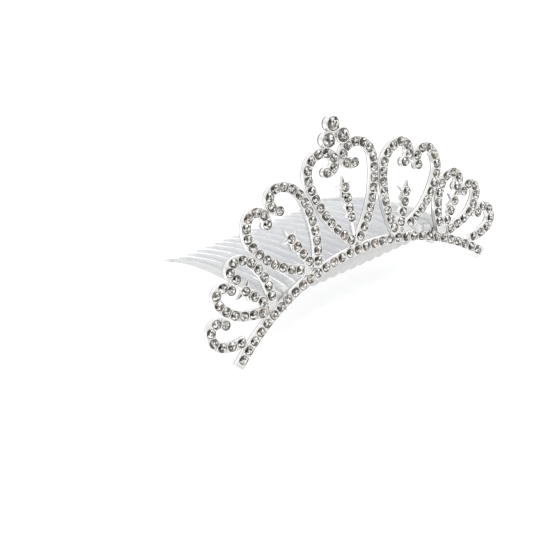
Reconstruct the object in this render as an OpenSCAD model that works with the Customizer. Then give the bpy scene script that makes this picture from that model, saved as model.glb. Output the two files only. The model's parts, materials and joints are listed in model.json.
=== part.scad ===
// Hair comb tiara: a flat cast frame of hearts on an arched band, set with
// round cut stones, and a clear comb tied to its back.
// Millimetres. The frame is drawn in its own plane: X to the right, Y to the
// back and Z up, with the middle stone of the band at the origin. It then
// leans back until it rests on the two ends of its band and on the outer
// teeth of its comb, with the floor at Z = 0.

/* [Band] */
// Radius of the band's arc, along its middle
band_r = 68.8; // [68.4:0.1:69.4]
// Number of stones along the band, an odd number
band_stone_count = 33; // [31:2:33]
// Distance between neighbouring stones of the band
band_pitch = 2.98; // [2.95:0.01:3]
// Length of bare strip beyond the last stone at each end
band_tail = 2.3; // [1.6:0.1:3.5]

/* [Frame] */
// Width of the metal strip that carries a row of stones
strip_w = 2.9; // [2.8:0.05:3.1]
// Thickness of the frame, front to back
frame_t = 1.9; // [1.8:0.1:2.6]
// Depth of a stone's seat
seat_depth = 1.15; // [1.1:0.05:1.3]
// Radius of the solder in the narrow corners
solder_r = 0.35; // [0.2:0.05:0.4]
// Width of the rod in the middle of a heart
rod_w = 1.1; // [0.8:0.1:1.6]
// Height of the crest's cups in front of the frame
crest_rise = 0.5; // [0.4:0.1:0.8]

/* [Stones] */
// Diameter of the stones in the rows
stone_d = 2.5; // [2.3:0.05:2.55]
// Diameter of the stone in each star
star_stone_d = 2.5; // [2:0.1:2.5]
// Diameter of the three stones of the crest
crest_stone_d = 3.9; // [3.4:0.1:4]
// Clearance round a stone in its seat
seat_gap = 0.05; // [0.03:0.01:0.08]

/* [Comb] */
// Number of teeth, with the two outer ones
teeth = 20; // [18:2:20]
// Distance between neighbouring teeth
tooth_pitch = 3.4; // [3.4:0.05:3.5]
// Reach of the inner teeth behind the front of the frame
tooth_reach = 58; // [50:1:60]
// Reach of the two outer teeth behind the front of the frame
end_tooth_reach = 65; // [62:1:68]
// Thickness of the spine, front to back
spine_t = 1.8; // [1.5:0.1:2.4]

/* [Hidden] */
STRING_NODES = ["band_stones", "centre_heart_stones", "centre_stem_stones",
    "middle_heart_stones_left", "middle_heart_stones_right",
    "middle_stem_stones_left", "middle_stem_stones_right",
    "small_heart_stones_left", "small_heart_stones_right",
    "small_stem_stones_left", "small_stem_stones_right",
    "end_curl_stones_left", "end_curl_stones_right"];
MAIN_STONE_NODES = ["crest_stone_top", "crest_stone_left", "crest_stone_right",
    "star_stone_centre", "star_stone_middle_left", "star_stone_middle_right",
    "star_stone_small_left", "star_stone_small_right"];

// Cut of a stone, as shares of its diameter
CROWN = 0.17;
PAVILION = 0.43;
TABLE = 0.56;
FACETS = 8;

// Strands of the right half. Each is a chain of arcs from its lowest stone.
// Columns of a strand: start x, start z, heading, stones, pitch, lead, arcs.
// The lead is bare strip that runs back from the first stone into the band.
// Columns of an arc: length, turn to the left in degrees.
centre_strand = [1.7, 3.5, 45, 16, 2.88, 2,
    [[22.7, 38], [12.9, 130], [7.6, 165]]];
middle_inner_strand = [14, 1.7, 106, 14, 2.86, 2,
    [[18.1, -34], [9.5, -65], [9.6, -174]]];
middle_outer_strand = [20.3, 1.3, 20, 13, 2.86, 3.2,
    [[17.4, 42], [7.5, 61], [9.5, 169]]];
small_inner_strand = [30.9, -2.2, 92, 9, 2.9, 4,
    [[11.7, -42], [5.2, -55], [6.3, -149]]];
small_outer_strand = [34.8, -5.8, 12, 9, 2.9, 1.5,
    [[5.1, 2], [9.9, 52], [8.2, 180]]];
end_curl = [43.2, -11.2, -2, 7, 3, 1.5,
    [[6.1, 26], [6, 88], [5.8, 126]]];
SIDE_STRANDS = [middle_inner_strand, middle_outer_strand, small_inner_strand,
    small_outer_strand, end_curl];

// Stems of the right half, each with a row of stones and a star at its top.
// Columns: first stone x and z, heading, stones, pitch, star's distance, lead.
centre_stem = [0, 9.7, 90, 3, 2.85, 8.8, 6.5];
middle_stem = [16.85, 2.6, 63, 3, 2.95, 8.9, 2.3];
small_stem = [34, -2.7, 47.5, 2, 2.95, 6.2, 2.5];

// Crest: three larger stones above the centre heart, each in a raised cup
crest_wall = 0.4;
crest_cup_d = crest_stone_d + 2 * seat_gap + 2 * crest_wall;
crest_seat = crest_stone_d * PAVILION - crest_rise + 2 * seat_gap;
crest_points = [[0, 36.7], [-2.55, 32.8], [2.55, 32.8]];

// Star: five pointed rays round the cup of a stone
star_tip_r = 2.9;
star_waist_r = 1.2;
star_cup_d = star_stone_d + 0.7;
RAYS = 5;

// Comb: teeth seen from the side, as an arched plate.
// Columns: distance behind the frame's front, middle height, thickness.
tooth_sections = [[3, -3.3, 2], [6, -2.2, 1.9], [10, -1.2, 1.85], [15, -0.3, 1.8],
    [20, 0.4, 1.75], [25, 0.85, 1.7], [30, 1.2, 1.6], [35, 1.35, 1.5], [40, 1.35, 1.4],
    [45, 1.15, 1.3], [50, 0.8, 1.2], [55, 0.25, 1.1], [60, -0.45, 1], [65, -1.3, 0.9],
    [70, -2.3, 0.8]];
comb_gap = 0.1;
spine_top = -2;
spine_foot = -5.1;
scallop_r = 3;
tooth_root_w = 1.7;
tooth_tip_w = 0.9;
end_tooth_root_w = 3.2;
end_tooth_tip_w = 1.3;
end_tooth_toe_in = 1.8;
spine_w = (teeth - 1) * tooth_pitch + end_tooth_root_w;

// Wire ties between two stones of the band, round the band and the spine
wire_d = 0.4;
tie_x = band_r * sin(9.5 * band_pitch / band_r * 180 / PI);
tie_bend_r = 0.5;
tie_gap = 0.12;
tail_d = 0.75;
tail_l = 2.4;
tail_lean = 35;

// Rest: the lean that brings the ends of the band and the comb to the floor
band_step = band_pitch / band_r * 180 / PI;
band_half = band_step * (band_stone_count - 1) / 2;
band_end = band_half + band_tail / band_r * 180 / PI;
end_foot_z = (band_r - strip_w / 2) * cos(band_end) - band_r;
comb_tip_z = lookup(end_tooth_reach, [for (s = tooth_sections) [s[0], s[1]]]);
comb_tip_t = lookup(end_tooth_reach, [for (s = tooth_sections) [s[0], s[2]]]);
comb_foot_z = comb_tip_z - comb_tip_t / 2;
lean = atan2(comb_foot_z - end_foot_z, end_tooth_reach - frame_t);
lift = frame_t * sin(lean) - end_foot_z * cos(lean);
front_y = end_foot_z * sin(lean);
back_y = end_tooth_reach * cos(lean) + (comb_tip_z + comb_tip_t / 2) * sin(lean);

CHORD_GAP = 0.04;
TIP_FN = 16;
ARC_FN = 48;

// Length of a chain of arcs up to its row n
function chain_length(arcs, n) = n == 0 ? 0 : chain_length(arcs, n - 1) + arcs[n - 1][0];

// Point and heading [x, z, heading] after a step along an arc of a given bend
function arc_step(p, step, bend) = abs(bend) < 0.001
    ? [p[0] + step * cos(p[2]), p[1] + step * sin(p[2]), p[2]]
    : let (r = 180 / (PI * bend), h = p[2] + bend * step)
      [p[0] + r * (sin(h) - sin(p[2])), p[1] - r * (cos(h) - cos(p[2])), h];

// Point and heading at a distance along a chain of arcs, from row n on
function chain_point(p, arcs, distance, n = 0) =
    let (row = arcs[n], bend = row[1] / row[0])
    distance <= row[0] || n == len(arcs) - 1
        ? arc_step(p, distance, bend)
        : chain_point(arc_step(p, row[0], bend), arcs, distance - row[0], n + 1);

// Steps that follow the bend of an arc to within the chord gap
function arc_steps(row) =
    let (bend = max(abs(row[1]), 1) / row[0] * PI / 180)
    ceil(row[0] * sqrt(bend / (8 * CHORD_GAP)));

// Distances along a chain of arcs, from a lead before its start to its end
function chain_steps(arcs, from, end, n = 0) =
    let (last = n == len(arcs) - 1, to = last ? end : chain_length(arcs, n + 1),
        steps = ceil(arc_steps(arcs[n]) * (to - from) / arcs[n][0]))
    concat([for (i = [0 : last ? steps : steps - 1]) from + i * (to - from) / steps],
        last ? [] : chain_steps(arcs, to, end, n + 1));

function strand_point(s, distance) = chain_point([s[0], s[1], s[2]], s[6], distance);
function strand_length(s) = (s[3] - 1) * s[4];
function strand_stones(s) = [for (i = [0 : s[3] - 1]) strand_point(s, i * s[4])];
function stem_point(s, distance) = arc_step([s[0], s[1], s[2]], distance, 0);
function stem_stones(s) = [for (i = [0 : s[3] - 1]) stem_point(s, i * s[4])];
function band_point(angle) = [band_r * sin(angle), band_r * (cos(angle) - 1), -angle];
function band_row() = [for (i = [0 : band_stone_count - 1]) band_point(i * band_step - band_half)];
function mirrored(points) = [for (p = points) [-p[0], p[1], 180 - p[2]]];
function beside(p, side) = [p[0] - side * sin(p[2]), p[1] + side * cos(p[2])];

// Leans the whole tiara back and sets it on the floor, over the origin
module at_rest() {
    translate([0, -(front_y + back_y) / 2, lift]) rotate([-lean, 0, 0]) children();
}

// Extrudes a drawing of the front view between two depths
module slab(front, back) {
    translate([0, back, 0]) rotate([90, 0, 0]) linear_extrude(back - front) children();
}

// A strip of even width through a row of points with headings
module ribbon(points, width) {
    polygon(concat([for (p = points) beside(p, width / 2)],
        [for (i = [len(points) - 1 : -1 : 0]) beside(points[i], -width / 2)]));
}

module strand_outline(s) {
    ribbon([for (d = chain_steps(s[6], -s[5], strand_length(s))) strand_point(s, d)], strip_w);
    tip = strand_point(s, strand_length(s));
    translate([tip[0], tip[1]]) circle(d = strip_w, $fn = TIP_FN);
}

module star_outline(p) {
    translate([p[0], p[1]]) rotate(p[2]) polygon([for (i = [0 : 2 * RAYS - 1])
        let (r = i % 2 == 0 ? star_tip_r : star_waist_r, a = i * 180 / RAYS)
        [r * cos(a), r * sin(a)]]);
    translate([p[0], p[1]]) circle(d = star_cup_d, $fn = TIP_FN);
}

module stem_outline(s) {
    ribbon([stem_point(s, -s[6]), stem_point(s, s[5])], rod_w);
    for (p = stem_stones(s)) translate([p[0], p[1]]) circle(d = strip_w, $fn = TIP_FN);
    star_outline(stem_point(s, s[5]));
}

module side_outline() {
    for (s = SIDE_STRANDS) strand_outline(s);
    stem_outline(middle_stem);
    stem_outline(small_stem);
    strand_outline(centre_strand);
}

module band_outline() {
    steps = arc_steps([2 * band_end * PI / 180 * band_r, 2 * band_end]);
    ribbon([for (i = [0 : steps]) band_point((2 * i / steps - 1) * band_end)], strip_w);
}

module cups_outline(diameter, fn) {
    for (p = crest_points) translate([p[0], p[1]]) circle(d = diameter, $fn = fn);
}

// The whole front view of the metal, with its narrow corners soldered up
module frame_outline() {
    offset(delta = -solder_r, chamfer = true) offset(delta = solder_r) {
        band_outline();
        side_outline();
        mirror([1, 0]) side_outline();
        stem_outline(centre_stem);
        cups_outline(crest_cup_d - crest_wall, TIP_FN);
    }
}

module seats(points, diameter) {
    for (p = points) translate([p[0], p[1]]) circle(d = diameter + 2 * seat_gap, $fn = ARC_FN);
}

module side_seats() {
    for (s = SIDE_STRANDS) seats(strand_stones(s), stone_d);
    for (s = [middle_stem, small_stem]) {
        seats(stem_stones(s), stone_d);
        seats([stem_point(s, s[5])], star_stone_d);
    }
    seats(strand_stones(centre_strand), stone_d);
}

module all_seats() {
    seats(band_row(), stone_d);
    side_seats();
    mirror([1, 0]) side_seats();
    seats(stem_stones(centre_stem), stone_d);
    seats([stem_point(centre_stem, centre_stem[5])], star_stone_d);
}

module frame() {
    color("silver") at_rest() difference() {
        union() {
            slab(0, frame_t) frame_outline();
            slab(-crest_rise, frame_t) cups_outline(crest_cup_d, ARC_FN);
        }
        slab(-1, seat_depth) all_seats();
        slab(-1, crest_seat) seats(crest_points, crest_stone_d);
    }
}

// One cut stone: a table, 24 crown facets, a sharp girdle and a pointed back
module cut_stone(d) {
    table = [for (i = [0 : FACETS - 1]) let (a = i * 360 / FACETS)
        [TABLE * d / 2 * cos(a), TABLE * d / 2 * sin(a), CROWN * d]];
    girdle = [for (i = [0 : 2 * FACETS - 1]) let (a = i * 180 / FACETS)
        [d / 2 * cos(a), d / 2 * sin(a), 0]];
    point = [[0, 0, -PAVILION * d]];
    first = FACETS;
    rim = 2 * FACETS;
    foot = FACETS + rim;
    polyhedron(points = concat(table, girdle, point), faces = concat(
        [[for (i = [FACETS - 1 : -1 : 0]) i]],
        [for (i = [0 : FACETS - 1]) [i, (i + 1) % FACETS, first + 2 * i + 1]],
        [for (i = [0 : FACETS - 1]) [i, first + 2 * i + 1, first + 2 * i]],
        [for (i = [0 : FACETS - 1]) [i, first + 2 * i, first + (2 * i + rim - 1) % rim]],
        [for (i = [0 : rim - 1]) [first + i, first + (i + 1) % rim, foot]]), convexity = 2);
}

// Cut stones in their seats, with the girdle level with the metal
module set_stones(points, d, rise = 0) {
    color("gainsboro") at_rest() for (i = [0 : len(points) - 1])
        translate([points[i][0], -rise, points[i][1]]) rotate([90, 17 * i, 0]) cut_stone(d);
}

module crest_stone(p) {
    set_stones([p], crest_stone_d, crest_rise);
}

module star_stone(s, side = 1) {
    p = stem_point(s, s[5]);
    set_stones([[side * p[0], p[1]]], star_stone_d);
}

// The spine from the front, with one scallop of its lower edge for each tooth
module spine_outline() {
    half = spine_w / 2;
    outer = half - (teeth / 2 - 1) * tooth_pitch;
    drop = scallop_r - sqrt(scallop_r * scallop_r - tooth_pitch * tooth_pitch / 4);
    edge = [for (i = [1 : teeth - 2], k = [0 : 5])
        let (x = (k / 6 - 0.5) * tooth_pitch)
        [(i - (teeth - 1) / 2) * tooth_pitch + x,
            spine_foot + scallop_r - sqrt(scallop_r * scallop_r - x * x)]];
    polygon(concat([[-half, spine_foot + outer / 2], [-half + outer / 3, spine_foot + drop]], edge,
        [[half - outer, spine_foot + drop], [half - outer / 3, spine_foot + drop],
        [half, spine_foot + outer / 2], [half, spine_top], [-half, spine_top]]));
}

// One tooth from above, tapering to a round tip and leaning in by its toe-in
module tooth_plan(reach, root_w, tip_w, toe_in) {
    start = frame_t + comb_gap + spine_t / 2;
    tip = tip_w / 2;
    polygon([[-root_w / 2, start], [root_w / 2, start], [tip - toe_in, reach - tip],
        [tip * 0.7 - toe_in, reach - tip * 0.3], [-toe_in, reach],
        [-tip * 0.7 - toe_in, reach - tip * 0.3], [-tip - toe_in, reach - tip]]);
}

module tooth_row() {
    for (i = [1 : teeth - 2])
        translate([(i - (teeth - 1) / 2) * tooth_pitch, 0])
            tooth_plan(tooth_reach, tooth_root_w, tooth_tip_w, 0);
    for (side = [0, 1])
        mirror([side, 0]) translate([(teeth - 1) / 2 * tooth_pitch, 0])
            tooth_plan(end_tooth_reach, end_tooth_root_w, end_tooth_tip_w, end_tooth_toe_in);
}

// The arched plate that the teeth are cut from, across the whole comb
module tooth_plate() {
    translate([-spine_w / 2 - 1, 0, 0]) rotate([90, 0, 90]) linear_extrude(spine_w + 2)
        polygon(concat([for (s = tooth_sections) [s[0], s[1] + s[2] / 2]],
            [for (i = [len(tooth_sections) - 1 : -1 : 0])
                [tooth_sections[i][0], tooth_sections[i][1] - tooth_sections[i][2] / 2]]));
}

module comb() {
    front = frame_t + comb_gap;
    color("lavender", 0.6) at_rest() {
        slab(front, front + spine_t) spine_outline();
        intersection() {
            tooth_plate();
            translate([0, 0, -10]) linear_extrude(20) tooth_row();
        }
    }
}

// A loop of wire round the band and the spine, with a twisted tail above
module wire_tie(side) {
    band_foot = sqrt(pow(band_r - strip_w / 2, 2) - tie_x * tie_x) - band_r;
    out = tie_gap + wire_d / 2;
    front = -out;
    back = frame_t + comb_gap + spine_t + out;
    foot = band_foot - out - 0.3;
    top = spine_top + out;
    r = tie_bend_r;
    color("dimgray") at_rest() translate([side * tie_x, 0, 0]) rotate([90, 0, 90]) {
        for (z = [foot, top])
            translate([front + r, z, 0]) rotate([0, 90, 0]) cylinder(d = wire_d, h = back - front - 2 * r);
        for (y = [front, back])
            translate([y, foot + r, 0]) rotate([-90, 0, 0]) cylinder(d = wire_d, h = top - foot - 2 * r);
        for (c = [[front + r, foot + r, 180], [back - r, foot + r, 270], [back - r, top - r, 0],
                [front + r, top - r, 90]])
            translate([c[0], c[1], 0]) rotate([0, 0, c[2]]) rotate_extrude(angle = 90)
                translate([r, 0]) circle(d = wire_d);
        translate([front + r, top, 0]) rotate([-90, 0, tail_lean]) cylinder(d = tail_d, h = tail_l);
    }
}

frame();
comb();
wire_tie(-1);  // wire_tie_left
wire_tie(1);  // wire_tie_right

set_stones(band_row(), stone_d);  // band_stones
set_stones(concat(strand_stones(centre_strand), mirrored(strand_stones(centre_strand))), stone_d);  // centre_heart_stones
set_stones(stem_stones(centre_stem), stone_d);  // centre_stem_stones

set_stones(concat(strand_stones(middle_inner_strand), strand_stones(middle_outer_strand)), stone_d);  // middle_heart_stones_right
set_stones(mirrored(concat(strand_stones(middle_inner_strand),  // middle_heart_stones_left
        strand_stones(middle_outer_strand))), stone_d);
set_stones(stem_stones(middle_stem), stone_d);  // middle_stem_stones_right
set_stones(mirrored(stem_stones(middle_stem)), stone_d);  // middle_stem_stones_left

set_stones(concat(strand_stones(small_inner_strand), strand_stones(small_outer_strand)), stone_d);  // small_heart_stones_right
set_stones(mirrored(concat(strand_stones(small_inner_strand),  // small_heart_stones_left
        strand_stones(small_outer_strand))), stone_d);
set_stones(stem_stones(small_stem), stone_d);  // small_stem_stones_right
set_stones(mirrored(stem_stones(small_stem)), stone_d);  // small_stem_stones_left

set_stones(strand_stones(end_curl), stone_d);  // end_curl_stones_right
set_stones(mirrored(strand_stones(end_curl)), stone_d);  // end_curl_stones_left

crest_stone(crest_points[0]);  // crest_stone_top
crest_stone(crest_points[1]);  // crest_stone_left
crest_stone(crest_points[2]);  // crest_stone_right
star_stone(centre_stem);  // star_stone_centre
star_stone(middle_stem, -1);  // star_stone_middle_left
star_stone(middle_stem);  // star_stone_middle_right
star_stone(small_stem, -1);  // star_stone_small_left
star_stone(small_stem);  // star_stone_small_right
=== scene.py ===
"""Heart tiara with a clear hair comb: the looks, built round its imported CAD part.

The front view of the tiara is worked out in millimetres, in the plane of its frame: X to the
right, Y to the back and Z up, with the middle stone of the band at the origin. One matrix then
leans everything back, sets it on the floor and turns millimetres into metres.
"""

from __future__ import annotations

import json
import logging
import math
import random
from collections.abc import Iterable, Sequence
from dataclasses import dataclass, field
from enum import Enum
from itertools import pairwise
from typing import ClassVar

import bmesh
import bpy
from mathutils import Matrix, Vector, kdtree

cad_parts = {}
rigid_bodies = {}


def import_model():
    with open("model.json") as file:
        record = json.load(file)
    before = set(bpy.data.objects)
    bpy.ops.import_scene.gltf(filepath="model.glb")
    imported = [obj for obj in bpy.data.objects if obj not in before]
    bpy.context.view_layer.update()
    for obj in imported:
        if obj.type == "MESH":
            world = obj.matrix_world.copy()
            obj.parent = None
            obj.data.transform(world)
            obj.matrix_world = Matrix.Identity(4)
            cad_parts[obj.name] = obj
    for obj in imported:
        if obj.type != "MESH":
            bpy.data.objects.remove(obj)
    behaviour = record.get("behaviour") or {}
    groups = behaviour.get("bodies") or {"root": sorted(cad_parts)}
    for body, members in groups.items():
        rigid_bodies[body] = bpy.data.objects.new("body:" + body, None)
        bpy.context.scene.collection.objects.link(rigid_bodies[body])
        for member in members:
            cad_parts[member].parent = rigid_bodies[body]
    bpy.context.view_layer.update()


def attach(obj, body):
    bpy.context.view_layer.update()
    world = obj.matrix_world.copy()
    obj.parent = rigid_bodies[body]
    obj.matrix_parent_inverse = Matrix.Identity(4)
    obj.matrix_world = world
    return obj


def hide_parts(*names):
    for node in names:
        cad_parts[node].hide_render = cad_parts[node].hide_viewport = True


LOG = logging.getLogger("tiara")
BODY = "root"
MILLIMETRE = 0.001
FULL_TURN = 2 * math.pi
TINY = 1e-4
TO_THE_FRONT = Matrix.Rotation(math.pi / 2, 4, "X")
Triple = tuple[float, float, float]
Colour = Triple
Mesh = bmesh.types.BMesh


class Side(Enum):
    """The halves of the tiara, as seen from its front."""

    LEFT = -1
    RIGHT = 1


class Slot(Enum):
    """The record's material slots."""

    SILVER = "silver_plate"
    PLASTIC = "clear_plastic"
    WIRE = "tie_wire"
    STONE = "cut_stone"


# The drawing of the front view


@dataclass(frozen=True)
class Spot:
    """A place on the front view, with the direction of the strip there in degrees."""

    x: float
    z: float
    heading: float

    def onward(self, step: float, bend: float = 0.0) -> Spot:
        """Goes on along an arc.

        Args:
            step: length to go, in millimetres.
            bend: turn to the left in degrees a millimetre.

        Returns:
            The spot at the end of the step.
        """
        start = math.radians(self.heading)
        if abs(bend) < TINY:
            x, z = self.x + step * math.cos(start), self.z + step * math.sin(start)
            return Spot(x, z, self.heading)
        end = start + math.radians(bend * step)
        radius = 1 / math.radians(bend)
        return Spot(
            self.x + radius * (math.sin(end) - math.sin(start)),
            self.z - radius * (math.cos(end) - math.cos(start)),
            math.degrees(end),
        )

    def on_side(self, side: Side) -> Spot:
        """Gives this spot, or its mirror image on the left half."""
        return self if side is Side.RIGHT else Spot(-self.x, self.z, 180 - self.heading)

    def station(self) -> Matrix:
        """Gives the axes of a section here: X along the strip, Y to the back, Z to its left."""
        turn = Matrix.Rotation(-math.radians(self.heading), 4, "Y")
        return Matrix.Translation((self.x, 0, self.z)) @ turn


@dataclass(frozen=True)
class Strand:
    """A strip of the right half: a chain of arcs, each a length and a turn, with stones."""

    start: Spot
    stones: int
    pitch: float
    lead: float
    arcs: tuple[tuple[float, float], ...]

    def at(self, distance: float) -> Spot:
        """Finds a spot of the strip.

        Args:
            distance: length along it from the first stone.

        Returns:
            The spot there.
        """
        spot, left = self.start, distance
        for length, turn in self.arcs[:-1]:
            if left <= length:
                return spot.onward(left, turn / length)
            spot, left = spot.onward(length, turn / length), left - length
        length, turn = self.arcs[-1]
        return spot.onward(left, turn / length)

    def centres(self) -> list[Spot]:
        """Gives the spots of the stones."""
        return [self.at(i * self.pitch) for i in range(self.stones)]

    def gaps(self) -> list[Spot]:
        """Gives the spots halfway between stones, and one before the first."""
        return [self.at((i - 0.5) * self.pitch) for i in range(self.stones)]

    def line(self, step: float) -> list[Spot]:
        """Finds spots at even steps, from the bare lead to the last stone.

        Args:
            step: the longest step.

        Returns:
            The spots.
        """
        total = self.lead + (self.stones - 1) * self.pitch
        count = math.ceil(total / step)
        return [self.at(total * i / count - self.lead) for i in range(count + 1)]


@dataclass(frozen=True)
class Stem:
    """A straight stem in a heart of the right half, with stones and a star at its top."""

    start: Spot
    stones: int
    pitch: float
    star: float
    lead: float

    def centres(self) -> list[Spot]:
        """Gives the spots of the stones."""
        return [self.start.onward(i * self.pitch) for i in range(self.stones)]

    def star_spot(self) -> Spot:
        """Gives the middle of the star."""
        return self.start.onward(self.star)


@dataclass(frozen=True)
class Layout:
    """The sizes of the tiara in millimetres, the same as those of its solids."""

    band_radius: float = 68.8
    band_stones: int = 33
    band_pitch: float = 2.98
    band_tail: float = 2.3
    strip_width: float = 2.9
    thickness: float = 1.9
    rod_width: float = 1.1
    crest_rise: float = 0.5
    stone: float = 2.5
    star_stone: float = 2.5
    crest_stone: float = 3.9
    end_tooth_reach: float = 65.0
    tip_foot: float = -1.75
    tip_top: float = -0.85
    centre_strand: Strand = Strand(
        Spot(1.7, 3.5, 45), 16, 2.88, 2, ((22.7, 38), (12.9, 130), (7.6, 165))
    )
    centre_stem: Stem = Stem(Spot(0, 9.7, 90), 3, 2.85, 8.8, 6.5)
    middle_strands: tuple[Strand, ...] = (
        Strand(Spot(14, 1.7, 106), 14, 2.86, 2, ((18.1, -34), (9.5, -65), (9.6, -174))),
        Strand(Spot(20.3, 1.3, 20), 13, 2.86, 3.2, ((17.4, 42), (7.5, 61), (9.5, 169))),
    )
    middle_stem: Stem = Stem(Spot(16.85, 2.6, 63), 3, 2.95, 8.9, 2.3)
    small_strands: tuple[Strand, ...] = (
        Strand(Spot(30.9, -2.2, 92), 9, 2.9, 4, ((11.7, -42), (5.2, -55), (6.3, -149))),
        Strand(Spot(34.8, -5.8, 12), 9, 2.9, 1.5, ((5.1, 2), (9.9, 52), (8.2, 180))),
    )
    small_stem: Stem = Stem(Spot(34, -2.7, 47.5), 2, 2.95, 6.2, 2.5)
    end_curl: Strand = Strand(
        Spot(43.2, -11.2, -2), 7, 3, 1.5, ((6.1, 26), (6, 88), (5.8, 126))
    )
    crest: tuple[Spot, ...] = (Spot(0, 36.7, 90), Spot(-2.55, 32.8, 90), Spot(2.55, 32.8, 90))

    @property
    def band_half(self) -> float:
        """Gives the length from the band's middle to the centre of its last stone."""
        return self.band_pitch * (self.band_stones - 1) / 2

    def band_at(self, distance: float) -> Spot:
        """Gives the spot of the band at a distance to the right of its middle."""
        angle, radius = distance / self.band_radius, self.band_radius
        return Spot(radius * math.sin(angle), radius * (math.cos(angle) - 1), -math.degrees(angle))

    def band_centres(self) -> list[Spot]:
        """Gives the spots of the band's stones."""
        return [self.band_at(i * self.band_pitch - self.band_half) for i in range(self.band_stones)]

    def band_gaps(self) -> list[Spot]:
        """Finds where the band's bars stand.

        Returns:
            The spot past the first stone, those between the stones and the one past the last.
        """
        first, end = self.band_pitch / 2 - self.band_half, self.band_half + self.band_pitch / 2
        inner = [self.band_at(first + i * self.band_pitch) for i in range(self.band_stones - 1)]
        return [self.band_at(-end), *inner, self.band_at(end)]

    def side_strands(self) -> list[Strand]:
        """Gives every strand of the right half."""
        return [self.centre_strand, *self.middle_strands, *self.small_strands, self.end_curl]

    def at_rest(self) -> Matrix:
        """Leans the tiara back, until the band's ends and two tips of the comb carry it.

        Returns:
            The matrix from the plane of the frame to the row frame, in metres.
        """
        end = (self.band_half + self.band_tail) / self.band_radius
        foot = (self.band_radius - self.strip_width / 2) * math.cos(end) - self.band_radius
        lean = math.atan2(self.tip_foot - foot, self.end_tooth_reach - self.thickness)
        lift = self.thickness * math.sin(lean) - foot * math.cos(lean)
        front = foot * math.sin(lean)
        back = self.end_tooth_reach * math.cos(lean) + self.tip_top * math.sin(lean)
        place = Matrix.Translation((0, -(front + back) / 2, lift)) @ Matrix.Rotation(-lean, 4, "X")
        return Matrix.Scale(MILLIMETRE, 4) @ place


# Shaders


class Signal:
    """A shader socket that adds Math nodes when it is used in a sum."""

    def __init__(self, graph: Graph, socket: bpy.types.NodeSocket) -> None:
        """Wraps a socket of a graph's node."""
        self.graph = graph
        self.socket = socket

    def _sum(self, operation: str, first: Signal | float, second: Signal | float) -> Signal:
        """Adds one Math node."""
        node = self.graph.node("ShaderNodeMath", {"operation": operation}, {0: first, 1: second})
        return self.graph.out(node)

    def __add__(self, other: Signal | float) -> Signal:
        """Adds."""
        return self._sum("ADD", self, other)

    def __radd__(self, other: float) -> Signal:
        """Adds to a number."""
        return self._sum("ADD", other, self)

    def __sub__(self, other: Signal | float) -> Signal:
        """Subtracts."""
        return self._sum("SUBTRACT", self, other)

    def __rsub__(self, other: float) -> Signal:
        """Subtracts from a number."""
        return self._sum("SUBTRACT", other, self)

    def __mul__(self, other: Signal | float) -> Signal:
        """Multiplies."""
        return self._sum("MULTIPLY", self, other)

    def __rmul__(self, other: float) -> Signal:
        """Multiplies a number."""
        return self._sum("MULTIPLY", other, self)

    def clamped(self) -> Signal:
        """Keeps the value from 0 to 1."""
        return self.graph.out(self.graph.node("ShaderNodeClamp", {}, {"Value": self}))


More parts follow.
